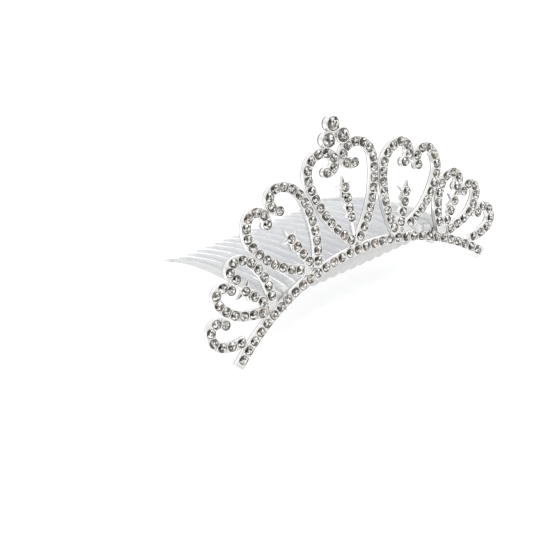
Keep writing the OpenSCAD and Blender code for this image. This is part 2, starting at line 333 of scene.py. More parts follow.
class Graph:
    """The node tree of one material or of the world."""

    def __init__(self, owner: bpy.types.Material | bpy.types.World) -> None:
        """Empties a node tree.

        Args:
            owner: the material or world that has the tree.
        """
        owner.use_nodes = True
        self.tree = owner.node_tree
        self.tree.nodes.clear()

    def node(
        self,
        kind: str,
        settings: dict[str, object] | None = None,
        inputs: dict[str | int, object] | None = None,
    ) -> bpy.types.Node:
        """Adds a node.

        Args:
            kind: type name of the node.
            settings: properties, set first; stops holds the stops of a ramp.
            inputs: values or signals of its sockets.

        Returns:
            The node.
        """
        node = self.tree.nodes.new(kind)
        for name, value in (settings or {}).items():
            if name == "stops":
                self._set_stops(node.color_ramp, value)
            else:
                setattr(node, name, value)
        for name, value in (inputs or {}).items():
            if isinstance(value, Signal):
                self.tree.links.new(value.socket, node.inputs[name])
            elif isinstance(value, tuple) and len(value) == 3 and node.inputs[name].type == "RGBA":
                node.inputs[name].default_value = (*value, 1.0)
            else:
                node.inputs[name].default_value = value
        return node

    @staticmethod
    def _set_stops(ramp: bpy.types.ColorRamp, stops: Sequence[tuple[float, Colour]]) -> None:
        """Gives a ramp its stops.

        Args:
            ramp: the ramp.
            stops: position and colour of each.
        """
        while len(ramp.elements) < len(stops):
            ramp.elements.new(1.0)
        for element, (position, colour) in zip(ramp.elements, stops, strict=True):
            element.position = position
            element.color = (*colour, 1.0)

    def out(self, node: bpy.types.Node, name: str | int = 0) -> Signal:
        """Wraps an output of a node."""
        return Signal(self, node.outputs[name])

    def place(self) -> Signal:
        """Gives the Object coordinates, in metres."""
        return self.out(self.node("ShaderNodeTexCoord"), "Object")

    def stretched(self, scale: Triple) -> Signal:
        """Gives the Object coordinates, scaled."""
        inputs = {"Vector": self.place(), "Scale": scale}
        return self.out(self.node("ShaderNodeMapping", {"vector_type": "POINT"}, inputs))

    def noise(self, scale: float, detail: float = 2.0, vector: Signal | None = None) -> Signal:
        """Gives noise with features of about one over scale metres."""
        inputs = {"Vector": vector or self.place(), "Scale": scale, "Detail": detail}
        return self.out(self.node("ShaderNodeTexNoise", {}, inputs), "Fac")

    def attribute(self, name: str) -> Signal:
        """Gives a number stored on the mesh."""
        return self.out(self.node("ShaderNodeAttribute", {"attribute_name": name}), "Fac")

    def ramp(self, value: Signal, stops: Sequence[tuple[float, Colour]]) -> Signal:
        """Turns a value into a colour."""
        return self.out(self.node("ShaderNodeValToRGB", {"stops": stops}, {"Fac": value}), "Color")

    def mix(
        self, factor: Signal | float, first: Signal | Colour, second: Signal | Colour
    ) -> Signal:
        """Mixes two colours."""
        node = self.node("ShaderNodeMix", {"data_type": "RGBA"}, {0: factor, 6: first, 7: second})
        return self.out(node, 2)

    def bump(self, height: Signal, depth: float) -> Signal:
        """Gives a normal that follows a height, with its depth in metres."""
        return self.out(self.node("ShaderNodeBump", {}, {"Height": height, "Distance": depth}))

    def surface(self, sockets: dict[str | int, object]) -> None:
        """Adds the shader of a material, with the values of its sockets, and its output."""
        shader = self.node("ShaderNodeBsdfPrincipled", {}, sockets)
        self.node("ShaderNodeOutputMaterial", {}, {"Surface": self.out(shader)})


@dataclass(frozen=True)
class Finish:
    """A finish, told by what the sockets of its shader get."""

    title: ClassVar[str] = "plain_finish"

    def sockets(self, graph: Graph) -> dict[str | int, object]:
        """Gives the values and signals of the shader's sockets."""
        raise NotImplementedError

    def material(self) -> bpy.types.Material:
        """Makes the material.

        Returns:
            A material with this finish.
        """
        material = bpy.data.materials.new(self.title)
        graph = Graph(material)
        graph.surface(self.sockets(graph))
        return material


@dataclass(frozen=True)
class SilverPlate(Finish):
    """Bright plated casting with a slightly rippled skin, darkened with painted shade in its seats,
    channels, rear edges, star sides and back.
    """

    title: ClassVar[str] = "silver_plate_finish"
    colour: Colour = (0.88, 0.875, 0.86)
    shade: Colour = (0.68, 0.67, 0.645)
    # The dark colour of the painted shade in seats, channels, rear edges, star sides and back.
    painted_shade_colour: Colour = (0.04, 0.038, 0.035)
    ripple_scale: float = 700.0
    grain_scale: float = 5200.0
    tarnish_scale: float = 160.0
    tarnish_start: float = 0.45
    tarnish_gain: float = 2.2
    roughness: float = 0.1
    roughness_spread: float = 0.1
    grain_depth: float = 0.12
    relief: float = 0.00006

    def sockets(self, graph: Graph) -> dict[str | int, object]:
        """Clouds the plate with tarnish, mixes in the painted shade and ripples it.

        Args:
            graph: tree that the nodes go in.

        Returns:
            The values and signals of the shader's sockets.
        """
        ripple, grain = graph.noise(self.ripple_scale, 3), graph.noise(self.grain_scale)
        tarnish = graph.noise(self.tarnish_scale, 4)
        clouds = ((tarnish - self.tarnish_start) * self.tarnish_gain).clamped()
        plate = graph.mix(clouds, self.colour, self.shade)
        return {
            # The plate, mixed towards the painted shade colour where the frame marks painted shade.
            "Base Color": graph.mix(graph.attribute("recess"), plate, self.painted_shade_colour),
            "Metallic": 1.0,
            "Roughness": self.roughness + self.roughness_spread * grain,
            "Normal": graph.bump(ripple + self.grain_depth * grain, self.relief),
        }


@dataclass(frozen=True)
class CutGlass(Finish):
    """Clear cut glass with a foiled back, whose facets carry painted dark and bright reflections.
    """

    title: ClassVar[str] = "cut_glass_finish"
    amber: Colour = (0.52, 0.36, 0.2)
    tones: tuple[tuple[float, Colour], ...] = (
        (0.0, (0.012, 0.011, 0.01)),
        (0.3, (0.052, 0.047, 0.041)),
        (0.52, (0.205, 0.192, 0.172)),
        (0.74, (0.56, 0.545, 0.51)),
        (0.92, (0.97, 0.97, 0.96)),
    )
    flaw_scale: float = 1900.0
    flaw_detail: float = 1.5
    flaw_strength: float = 0.5

    def sockets(self, graph: Graph) -> dict[str | int, object]:
        """Colours each facet by its painted reflection tone, with small flaws.

        Args:
            graph: tree that the nodes go in.

        Returns:
            The values and signals of the shader's sockets.
        """
        flaw = graph.noise(self.flaw_scale, self.flaw_detail)
        # The facet's painted reflection tone, broken up by noise.
        tone = graph.attribute("facet_tone") + self.flaw_strength * (flaw - 0.5)
        grey = graph.ramp(tone.clamped(), self.tones)
        return {
            "Base Color": graph.mix(graph.attribute("warmth"), grey, self.amber),
            "Metallic": 0.35,
            "Roughness": 0.03,
            "IOR": 1.56,
            "Coat Weight": 0.6,
            "Coat Roughness": 0.01,
        }


@dataclass(frozen=True)
class ClearPlastic(Finish):
    """Clear moulded plastic, pale lilac, with flow lines along the teeth."""

    title: ClassVar[str] = "clear_plastic_finish"
    colour: Colour = (0.665, 0.675, 0.705)
    spine: Colour = (0.765, 0.77, 0.755)
    # Painted light: the paler tint that lifts the frame's shadow off the spine's ends, where the
    # comb marks clear.
    clear: Colour = (0.93, 0.93, 0.92)
    edge: Colour = (0.42, 0.44, 0.43)
    streak: Colour = (0.95, 0.95, 0.97)
    flow_scale: Triple = (900.0, 40.0, 500.0)
    cloud_scale: float = 90.0
    edge_blend: float = 0.35
    edge_tint: float = 0.9
    streak_gain: float = 3.0
    streak_share: float = 0.5
    alpha: float = 0.46
    edge_alpha: float = 0.3
    streak_alpha: float = 0.15
    dense_alpha: float = 0.12
    shadow_lift_alpha: float = 0.35
    roughness: float = 0.12
    roughness_spread: float = 0.1
    relief: float = 0.00005

    def sockets(self, graph: Graph) -> dict[str | int, object]:
        """Streaks the plastic, thickens it where the comb says so, and lifts the frame's shadow off
        the spine's ends with painted light.

        Args:
            graph: tree that the nodes go in.

        Returns:
            The values and signals of the shader's sockets.
        """
        flow = graph.noise(1, 3, graph.stretched(self.flow_scale))
        cloud = graph.noise(self.cloud_scale, 3)
        weight = graph.node("ShaderNodeLayerWeight", {}, {"Blend": self.edge_blend})
        edge = graph.out(weight, "Facing")
        dense, clear = graph.attribute("dense"), graph.attribute("clear")
        tint = graph.mix(dense, self.colour, self.spine)
        # Where the comb marks clear, painted light lifts the frame's shadow: a paler tint and less
        # alpha.
        tint = graph.mix(clear, tint, self.clear)
        tint = graph.mix((edge * edge * self.edge_tint).clamped(), tint, self.edge)
        streaks = ((flow - 0.5) * self.streak_gain).clamped()
        alpha = self.alpha + self.edge_alpha * edge - self.streak_alpha * streaks
        alpha = alpha + self.dense_alpha * dense - self.shadow_lift_alpha * clear
        return {
            "Base Color": graph.mix(self.streak_share * streaks, tint, self.streak),
            "Roughness": self.roughness + self.roughness_spread * cloud,
            "IOR": 1.49,
            "Alpha": alpha.clamped(),
            "Normal": graph.bump(flow, self.relief),
        }


@dataclass(frozen=True)
class DrawnWire(Finish):
    """Thin drawn wire with draw marks."""

    title: ClassVar[str] = "tie_wire_finish"
    colour: Colour = (0.42, 0.42, 0.42)
    bright: Colour = (0.66, 0.66, 0.66)
    # The colour of the painted shade in the twisted tail.
    dull: Colour = (0.08, 0.08, 0.085)
    mark_scale: float = 4000.0
    roughness: float = 0.25
    roughness_spread: float = 0.15

    def sockets(self, graph: Graph) -> dict[str | int, object]:
        """Marks the wire, and darkens it with painted shade where the tie says so.

        Args:
            graph: tree that the nodes go in.

        Returns:
            The values and signals of the shader's sockets.
        """
        marks = graph.noise(self.mark_scale)
        wire = graph.mix(marks, self.colour, self.bright)
        return {
            "Base Color": graph.mix(graph.attribute("dull"), wire, self.dull),
            "Metallic": 1.0,
            "Roughness": self.roughness + self.roughness_spread * marks,
        }


@dataclass(frozen=True)
class PaleFloor(Finish):
    """The plain white floor of the set."""

    title: ClassVar[str] = "floor_finish"
    colour: Colour = (0.9, 0.9, 0.9)
    glow: Colour = (1.0, 1.0, 1.0)
    strength: float = 0.32

    def sockets(self, _graph: Graph) -> dict[str | int, object]:
        """Gives the values of the shader's sockets."""
        glow = {"Emission Color": self.glow, "Emission Strength": self.strength}
        return {"Base Color": self.colour, "Roughness": 0.9, **glow}


# Mesh work


def picked(items: Iterable[object], kind: type) -> list:
    """Picks the vertices, the edges or the faces out of what an operator gives."""
    return [item for item in items if isinstance(item, kind)]


def moved(mesh: Mesh, place: Matrix) -> Mesh:
    """Moves a whole mesh, and gives it back."""
    bmesh.ops.transform(mesh, matrix=place, verts=mesh.verts[:])
    return mesh


def rounded(
    mesh: Mesh, geom: list, radius: float, segments: int = 3, affect: str = "EDGES"
) -> None:
    """Rounds edges, or corners where affect is VERTICES."""
    bmesh.ops.bevel(
        mesh,
        geom=geom,
        offset=radius,
        segments=segments,
        profile=0.5,
        affect=affect,
        material=-1,
    )


def outline(corners: Iterable[tuple[float, float]]) -> Mesh:
    """Makes one face across the X axis.

    Args:
        corners: Y and Z of its corners.

    Returns:
        A mesh with that face.
    """
    mesh = bmesh.new()
    mesh.faces.new([mesh.verts.new((0, y, z)) for y, z in corners])
    return mesh


def rounded_section(low: tuple[float, float], high: tuple[float, float], radius: float) -> Mesh:
    """Makes a rectangular face across the X axis, with round corners.

    Args:
        low: its lowest Y and Z.
        high: its highest Y and Z.
        radius: radius of its corners.

    Returns:
        A mesh with that one face.
    """
    mesh = outline((low, (high[0], low[1]), high, (low[0], high[1])))
    rounded(mesh, mesh.verts[:], radius, affect="VERTICES")
    return mesh


def swept(section: Mesh, stations: Sequence[Matrix]) -> Mesh:
    """Draws a section through a row of stations into a closed tube.

    Args:
        section: mesh with one face across the X axis; it becomes the result.
        stations: where the section goes, one matrix each.

    Returns:
        The closed mesh.
    """
    section.faces.ensure_lookup_table()
    end = section.faces[0]
    moved(section, stations[0])
    for number, (before, after) in enumerate(pairwise(stations)):
        out = bmesh.ops.extrude_face_region(section, geom=[end])["geom"]
        verts = picked(out, bmesh.types.BMVert)
        bmesh.ops.transform(section, matrix=after @ before.inverted(), verts=verts)
        if number:
            bmesh.ops.delete(section, geom=[end], context="FACES_ONLY")
        end = picked(out, bmesh.types.BMFace)[0]
    bmesh.ops.recalc_face_normals(section, faces=section.faces[:])
    return section


def turned(
    radii: tuple[float, float], depths: tuple[float, float], rim: float = 0.0, segments: int = 28
) -> Mesh:
    """Makes a round boss along Y.

    Args:
        radii: radius at its front and at its back.
        depths: Y of its front and of its back.
        rim: rounding of the front rim.
        segments: sides.

    Returns:
        The closed mesh.
    """
    mesh = bmesh.new()
    front, back = depths
    bmesh.ops.create_cone(
        mesh,
        cap_ends=True,
        segments=segments,
        radius1=radii[1],
        radius2=radii[0],
        depth=back - front,
        matrix=Matrix.Translation((0, (front + back) / 2, 0)) @ TO_THE_FRONT,
    )
    if rim > 0:
        edges = [e for e in mesh.edges if all(abs(v.co.y - front) < TINY for v in e.verts)]
        rounded(mesh, edges, rim)
    return mesh


def bead(radius: float, stretch: float) -> Mesh:
    """Makes a small ball.

    Args:
        radius: its radius.
        stretch: how many times longer it is along Y.

    Returns:
        The closed mesh.
    """
    mesh = bmesh.new()
    bmesh.ops.create_uvsphere(mesh, u_segments=12, v_segments=8, radius=radius)
    return moved(moved(mesh, TO_THE_FRONT), Matrix.Diagonal((1, stretch, 1, 1)))


class Assembly:
    """A mesh that is put together from copies of smaller ones."""

    def __init__(self) -> None:
        """Starts empty."""
        self.mesh = bmesh.new()

    def add(self, part: Mesh, place: Matrix | None = None) -> list[bmesh.types.BMFace]:
        """Adds a copy of a mesh.

        Args:
            part: mesh to copy.
            place: where it goes.

        Returns:
            The new faces.
        """
        copy = bpy.data.meshes.new("copy")
        part.to_mesh(copy)
        verts, faces = len(self.mesh.verts), len(self.mesh.faces)
        self.mesh.from_mesh(copy)
        bpy.data.meshes.remove(copy)
        self.mesh.verts.ensure_lookup_table()
        self.mesh.faces.ensure_lookup_table()
        if place is not None:
            bmesh.ops.transform(self.mesh, matrix=place, verts=self.mesh.verts[verts:])
        return self.mesh.faces[faces:]


def copies(part: Mesh, places: Iterable[Matrix]) -> Mesh:
    """Repeats a mesh.

    Args:
        part: mesh to copy; it is freed.
        places: where the copies go.

    Returns:
        One mesh with all the copies.
    """
    group = Assembly()
    for place in places:
        group.add(part, place)
    part.free()
    return group.mesh


def loose_object(mesh: Mesh, name: str) -> bpy.types.Object:
    """Makes an object that no collection holds yet.

    Args:
        mesh: its mesh, which is copied.
        name: name of the object and of its data.

    Returns:
        The object.
    """
    data = bpy.data.meshes.new(name)
    mesh.to_mesh(data)
    return bpy.data.objects.new(name, data)


def combined(base: Mesh, others: Iterable[Mesh], operation: str) -> Mesh:
    """Joins closed meshes into one skin, or cuts them out of the first.

    Args:
        base: the first mesh.
        others: the meshes to join or to cut.
        operation: UNION or DIFFERENCE.

    Returns:
        A new mesh.
    """
    scene = bpy.context.scene.collection
    group = bpy.data.collections.new("operands")
    scene.children.link(group)
    base_object = loose_object(base, "base")
    scene.objects.link(base_object)
    for mesh in others:
        group.objects.link(loose_object(mesh, "operand"))
    modifier = base_object.modifiers.new("combine", "BOOLEAN")
    modifier.solver = "MANIFOLD"
    modifier.operation = operation
    modifier.operand_type = "COLLECTION"
    modifier.collection = group
    shown = base_object.evaluated_get(bpy.context.evaluated_depsgraph_get())
    result = bmesh.new()
    result.from_mesh(shown.to_mesh())
    shown.to_mesh_clear()
    for item in [base_object, *group.objects]:
        data = item.data
        bpy.data.objects.remove(item)
        bpy.data.meshes.remove(data)
    bpy.data.collections.remove(group)
    return result


class Workshop:
    """Turns finished meshes into pieces of the tiara."""

    def __init__(self, layout: Layout) -> None:
        """Keeps the placing of the tiara."""
        self.at_rest = layout.at_rest()

    def piece(
        self,
        mesh: Mesh,
        name: str,
        material: bpy.types.Material,
        slot: Slot,
        nodes: Sequence[str],
        crease: float | None = None,
    ) -> None:
        """Places a mesh, dresses it and hangs it on the body.

        Args:
            mesh: closed mesh in millimetres, in the plane of the frame.
            name: name of the piece.
            material: its finish.
            slot: the record's slot that the finish stands for; not used.
            nodes: the CAD nodes that it replaces.
            crease: angle in degrees over which an edge stays sharp; None keeps facets flat.
        """
        data = bpy.data.meshes.new(name)
        moved(mesh, self.at_rest).to_mesh(data)
        mesh.free()
        if crease is None:
            data.shade_flat()
        else:
            data.shade_smooth()
            data.set_sharp_from_angle(angle=math.radians(crease))
        data.materials.append(material)
        made = bpy.data.objects.new(name, data)
        bpy.context.scene.collection.objects.link(made)
        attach(made, BODY)
        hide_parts(*nodes)
        data.calc_loop_triangles()
        LOG.info("%s: %d triangles", name, len(data.loop_triangles))


# The parts of the tiara


@dataclass(frozen=True)
class BrilliantCut:
    """A round stone, cut one plane at a time; its sizes are shares of its diameter."""

    crown: float = 0.17
    pavilion: float = 0.43
    table: float = 0.28
    star_depth: float = 0.5
    half_depth: float = 0.74
    girdle: float = 0.008
    mains: int = 8
    window_rim: float = 0.1
    level: float = 0.99
    cut_slack: float = 1e-6
    merge_slack: float = 2e-4

    def planes(self) -> list[tuple[Vector, Vector]]:
        """Works out the facets.

        Returns:
            A point and an outward normal for each plane, with the table at the top.
        """
        step = math.pi / self.mains
        rim = 0.5
        slope = (self.crown - self.girdle) / (rim - self.table)
        star_z = self.girdle + (self.crown - self.girdle) * (1 - self.star_depth)
        star_r = (rim - (star_z - self.girdle) / slope) / math.cos(step)
        star_slope = (self.crown - star_z) / (star_r - self.table * math.cos(step))
        rim_flat = rim * math.cos(step / 2)
        upper_slope = (star_z - self.girdle) / (rim_flat - star_r * math.cos(step / 2))
        back_slope = (self.pavilion - self.girdle) / rim
        half_z = self.girdle + (self.pavilion - self.girdle) * self.half_depth
        half_r = (rim - (half_z - self.girdle) / back_slope) / math.cos(step)
        half_slope = (half_z - self.girdle) / (rim_flat - half_r * math.cos(step / 2))
        rows = (
            (self.mains, 0.0, slope, rim, self.girdle),
            (self.mains, step, star_slope, self.table * math.cos(step), self.crown),
            (2 * self.mains, step / 2, upper_slope, rim_flat, self.girdle),
            (self.mains, 0.0, -back_slope, rim, -self.girdle),
            (2 * self.mains, step / 2, -half_slope, rim_flat, -self.girdle),
        )
        planes = [(Vector((0, 0, self.crown)), Vector((0, 0, 1)))]
        for count, first, rise, radius, height in rows:
            for number in range(count):
                turn = first + number * FULL_TURN / count
                out = Vector((math.cos(turn), math.sin(turn), 0))
                up = 1.0 if rise > 0 else -1.0
                point = out * radius + Vector((0, 0, height))
                planes.append((point, (out * abs(rise) + Vector((0, 0, up))).normalized()))
        return planes

    def mesh(self, diameter: float) -> Mesh:
        """Cuts the stone.

        Args:
            diameter: its diameter in millimetres.

        Returns:
            The stone with its table towards the front.
        """
        stone = bmesh.new()
        bmesh.ops.create_cone(
            stone, cap_ends=True, segments=2 * self.mains, radius1=0.5, radius2=0.5, depth=2
        )
        for point, normal in self.planes():
            out = bmesh.ops.bisect_plane(
                stone,
                geom=stone.verts[:] + stone.edges[:] + stone.faces[:],
                dist=self.cut_slack,
                plane_co=point,
                plane_no=normal,
                clear_outer=True,
            )
            edges = picked(out["geom_cut"], bmesh.types.BMEdge)
            bmesh.ops.edgenet_fill(stone, edges=edges)
        bmesh.ops.remove_doubles(stone, verts=stone.verts[:], dist=self.merge_slack)
        bmesh.ops.dissolve_degenerate(stone, edges=stone.edges[:], dist=self.merge_slack)
        self._show_back(stone)
        bmesh.ops.recalc_face_normals(stone, faces=stone.faces[:])
        bmesh.ops.scale(stone, vec=(diameter,) * 3, verts=stone.verts[:])
        return moved(stone, TO_THE_FRONT)

    def _show_back(self, stone: Mesh) -> None:
        """Splits the table into the wedges of the back that show through it.

        Args:
            stone: the stone, with its table at the top.
        """
        table = max(stone.faces, key=lambda face: face.calc_center_median().z)
        bmesh.ops.inset_region(
            stone, faces=[table], thickness=self.window_rim, depth=0, use_even_offset=True
        )
        top = [face for face in stone.faces if face.normal.z > self.level]
        middle = [face for face in top if face.calc_center_median().length < self.crown + TINY]
        bmesh.ops.poke(stone, faces=middle)


@dataclass
class CutStones:
    """All the stones, each row a piece of its own."""

    layout: Layout
    shop: Workshop
    finish: CutGlass = field(default_factory=CutGlass)
    cut: BrilliantCut = field(default_factory=BrilliantCut)
    turn: float = 17.0
    seed: int = 11
    warm_share: float = 0.12
    warm_range: tuple[float, float] = (0.1, 0.35)
    cool: float = 0.04
    middle_share: float = 0.21
    # The girdle ring gets painted shade; the wedge tones are painted reflections.
    dark_rim: float = 0.42
    rim_tone: float = 0.1
    rim_contrast: float = 0.45
    wedge_start: float = 0.1
    wedge_spread: float = 0.22
    wedge_tones: tuple[float, ...] = (0.08, 0.24, 0.38, 0.52, 0.62, 0.74, 0.92, 1.0)

    def build(self) -> None:
        """Makes and dresses every row."""
        lay = self.layout
        self.material = self.finish.material()
        sizes = (lay.stone, lay.star_stone, lay.crest_stone)
        self.templates = {size: self.cut.mesh(size) for size in sizes}
        self.luck = random.Random(self.seed)
        both = (Side.RIGHT, Side.LEFT)
        self._row("band_stones", lay.band_centres(), lay.stone)
        centre = [s.on_side(side) for side in both for s in lay.centre_strand.centres()]
        self._row("centre_heart_stones", centre, lay.stone)
        self._row("centre_stem_stones", lay.centre_stem.centres(), lay.stone)
        for side in both:
            tag = side.name.lower()
            for heart, strands, stem in (
                ("middle", lay.middle_strands, lay.middle_stem),
                ("small", lay.small_strands, lay.small_stem),
            ):
                spots = [s.on_side(side) for strand in strands for s in strand.centres()]
                self._row(f"{heart}_heart_stones_{tag}", spots, lay.stone)
                spots = [s.on_side(side) for s in stem.centres()]
                self._row(f"{heart}_stem_stones_{tag}", spots, lay.stone)
                star = [stem.star_spot().on_side(side)]
                self._row(f"star_stone_{heart}_{tag}", star, lay.star_stone)
            curl = [s.on_side(side) for s in lay.end_curl.centres()]
            self._row(f"end_curl_stones_{tag}", curl, lay.stone)
        self._row("star_stone_centre", [lay.centre_stem.star_spot()], lay.star_stone)
        for name, spot in zip(("top", "left", "right"), lay.crest, strict=True):
            self._row(f"crest_stone_{name}", [spot], lay.crest_stone, lay.crest_rise)

    def _row(self, node: str, spots: Sequence[Spot], size: float, rise: float = 0.0) -> None:
        """Sets one row of stones and makes it a piece.

        Args:
            node: CAD node that it replaces.
            spots: centres of the stones.
            size: their diameter.
            rise: how far their girdles stand in front of the frame's front.
        """
        row = Assembly()
        layers = row.mesh.faces.layers.float
        marks = (layers.new("facet_tone"), layers.new("warmth"))
        for number, spot in enumerate(spots):
            turn = math.radians(self.turn * number)
            centre = Vector((spot.x, -rise, spot.z))
            place = Matrix.Translation(centre) @ Matrix.Rotation(turn, 4, "Y")
            self._light(row.add(self.templates[size], place), centre, turn, size, marks)
        self.shop.piece(row.mesh, f"cut_{node}", self.material, Slot.STONE, [node])

    def _light(
        self,
        faces: Iterable[bmesh.types.BMFace],
        centre: Vector,
        turn: float,
        size: float,
        marks: tuple[bmesh.types.BMLayerItem, bmesh.types.BMLayerItem],
    ) -> None:
        """Paints into each facet a reflection tone, and darkens the girdle ring with painted shade.

        Args:
            faces: facets of one stone.
            centre: middle of its girdle.
            turn: how far the stone is turned, in radians.
            size: its diameter.
            marks: layer of the painted reflection tones, 0 dark and 1 bright, and layer of their
                amber tint.
        """
        tone, warmth = marks
        luck = self.luck
        middle, ring = list(self.wedge_tones), list(self.wedge_tones)
        luck.shuffle(middle)
        luck.shuffle(ring)
        warm = luck.uniform(*self.warm_range) if luck.random() < self.warm_share else self.cool
        for face in faces:
            offset = face.calc_center_median() - centre
            azimuth = (math.atan2(offset.z, offset.x) + turn + self.wedge_start) % FULL_TURN
            radius = math.hypot(offset.x, offset.z) / size
            wedges = middle if radius < self.middle_share else ring
            shade = wedges[int(azimuth / FULL_TURN * len(wedges))]
            shade += luck.uniform(-self.wedge_spread, self.wedge_spread)
            # The girdle ring gets painted shade: a dark outline where the cup shades the stone.
            if radius > self.dark_rim:
                shade = self.rim_tone + self.rim_contrast * shade
            face[tone] = min(max(shade, 0.0), 1.0)
            face[warmth] = warm * luck.random()


@dataclass
class MetalFrame:
    """The plated casting: strips, bars, cups, prongs, stems and stars in one skin."""

    layout: Layout
    shop: Workshop
    finish: SilverPlate = field(default_factory=SilverPlate)
    crease: float = 38.0
    rim_width: float = 0.16
    rim_front: float = -0.06
    rim_round: float = 0.05
    channel_floor: float = 0.1
    back_round: float = 0.24
    back_line: float = 0.7
    draft: float = 0.16
    draft_share: float = 0.15
    line_step: float = 0.55
    band_steps: int = 100
    band_inside: float = 0.9
    bar_width: float = 0.24
    bar_root: float = 0.1
    bar_round: float = 0.07
    seat_gap: float = 0.1
    seat_depths: tuple[float, float] = (-1.5, 1.15)
    cup_wall: float = 0.22
    cup_taper: float = 0.14
    cup_depth: float = 1.25
    cup_round: float = 0.1
    prong: tuple[float, float] = (0.24, 1.4)
    prong_place: tuple[float, float] = (1.4, 0.02)
    rod_depths: tuple[float, float] = (0.35, 1.7)
    rod_round: float = 0.3
    star_rays: int = 5
    star_tip: float = 3.3
    star_waist: float = 1.2
    star_front: float = 0.2
    star_depth: float = 1.1
    star_ridge: float = -0.45
    crest_wall: float = 0.38
    crest_taper: float = 0.1
    crest_lip: float = 0.08
    crest_round: float = 0.14
    crest_gap: float = 0.04
    crest_seat: tuple[float, float] = (-3.0, 1.4)
    crest_prong: tuple[float, float] = (0.3, 1.2)
    crest_prong_inset: float = 0.22
    crest_prong_lift: float = 0.06
    facing: float = 0.5
    slack: float = 0.02
    seat_end: float = 1.6
    # Shares of painted shade, 1 being darkest: channel floors, rear wall strips, star sides and the
    # back.
    channel_shade: float = 0.3
    back_shade: float = 0.7
    end_area: float = 1.0
    star_shade: float = 0.28
    back_face_shade: float = 0.4
    parts: list[Mesh] = field(default_factory=list)
    seats: list[Mesh] = field(default_factory=list)
    holes: list[tuple[Spot, float, float]] = field(default_factory=list)
    channels: list[Spot] = field(default_factory=list)
    stars: list[Spot] = field(default_factory=list)

    def build(self) -> None:
        """Makes and dresses the frame."""
        lay = self.layout
        self._band()
        for strand in lay.side_strands():
            for side in Side:
                self._strand(strand, side)
        self._stem(lay.centre_stem, Side.RIGHT)
        for stem in (lay.middle_stem, lay.small_stem):
            for side in Side:
                self._stem(stem, side)
        self._crest()
        skin = combined(self.parts[0], self.parts[1:], "UNION")
        skin = combined(skin, self.seats, "DIFFERENCE")
        for mesh in self.parts + self.seats:
            mesh.free()
        # Cuts the walls where their rear strip starts; that strip gets a painted dark outline.
        bmesh.ops.bisect_plane(
            skin,
            geom=skin.verts[:] + skin.edges[:] + skin.faces[:],
            dist=TINY,
            plane_co=(0, lay.thickness - self.back_line, 0),
            plane_no=(0, 1, 0),
        )
        self._paint_shade(skin)
        material = self.finish.material()
        self.shop.piece(skin, "silver_frame", material, Slot.SILVER, ["frame"], self.crease)

    def _paint_shade(self, skin: Mesh) -> None:
        """Paints shade into the plate: seat walls, channel floors, the rear strip of the walls,
        star sides and the back.

        Args:
            skin: the whole frame.
        """
        layer = skin.faces.layers.float.new("recess")
        seats = self._tree([spot for spot, _radius, _front in self.holes])
        lines, stars = self._tree(self.channels), self._tree(self.stars)
        back = self.layout.thickness
        inner = self.layout.strip_width / 2 - self.rim_width + self.rim_round
        floor = self.channel_floor + self.rim_round
        star_back = self.star_front + self.star_depth
        for face in skin.faces:
            middle = face.calc_center_median()
            y, flat = middle.y, (middle.x, 0, middle.z)
            spot, radius, front = self.holes[seats.find(flat)[1]]
            upright = abs(face.normal.y) < self.facing
            near_star = stars.find(flat)[2] < self.star_tip
            reach = max(math.hypot(v.co.x - spot.x, v.co.z - spot.z) for v in face.verts)
            # Seat walls: full painted shade, a dark ring in the gap round each stone.
            if upright and reach < radius + self.slack and front + self.slack < y < self.seat_end:
                face[layer] = 1.0
            # Channel floors between the stones: painted shade.
            elif not upright and lines.find(flat)[2] < inner and 0.0 < y < floor:
                face[layer] = self.channel_shade
            # Rear strip of the walls: painted shade, a dark outline along the back edge.
            elif upright and back - self.back_line < y < back - self.slack:
                face[layer] = self.back_shade if face.calc_area() < self.end_area else 0.0
            # Side walls of the stars: painted shade.
            elif upright and near_star and self.star_front < y < star_back:
                face[layer] = self.star_shade
            # Faces looking back: painted shade, so the back reads darker.
            elif face.normal.y > self.facing:
                face[layer] = self.back_face_shade

    @staticmethod
    def _tree(spots: Sequence[Spot]) -> kdtree.KDTree:
        """Makes a tree that finds the nearest of some spots.

        Args:
            spots: the spots.

        Returns:
            The tree, with the spots' numbers.
        """
        tree = kdtree.KDTree(len(spots))
        for number, spot in enumerate(spots):
            tree.insert((spot.x, 0, spot.z), number)
        tree.balance()
        return tree

    def _section(self) -> Mesh:
        """Draws the section of the strips: a channel between two thin rims.

        Returns:
            A mesh with one face.
        """
        half, back = self.layout.strip_width / 2, self.layout.thickness
        inner, start = half - self.rim_width, self.draft * self.draft_share
        mesh = outline(
            (
                (self.rim_front, -half),
                (self.rim_front, -inner),
                (self.channel_floor, -inner),
                (self.channel_floor, inner),
                (self.rim_front, inner),
                (self.rim_front, half),
                (back - self.back_line, half - start),
                (back, half - self.draft),
                (back, self.draft - half),
                (back - self.back_line, start - half),
            )
        )
        verts = mesh.verts[:]
        rims = [verts[number] for number in (0, 1, 4, 5)]
        for group, radius in ((rims, self.rim_round), (verts[7:9], self.back_round)):
            rounded(mesh, group, radius, 2, "VERTICES")
        return mesh

    def _bar(self) -> Mesh:
        """Makes the bar that parts two stones of a row.

        Returns:
            The closed mesh, with the row along X.
        """
        depth = self.channel_floor + self.bar_root - self.rim_front
        size = (self.bar_width, depth, self.layout.strip_width - self.rim_width, 1)
        place = Matrix.Translation((0, self.rim_front + depth / 2, 0)) @ Matrix.Diagonal(size)
        mesh = bmesh.new()
        bmesh.ops.create_cube(mesh, size=1, matrix=place)
        front = [edge for edge in mesh.edges if all(vert.co.y < 0 for vert in edge.verts)]
        rounded(mesh, front, self.bar_round, 2)
        return mesh

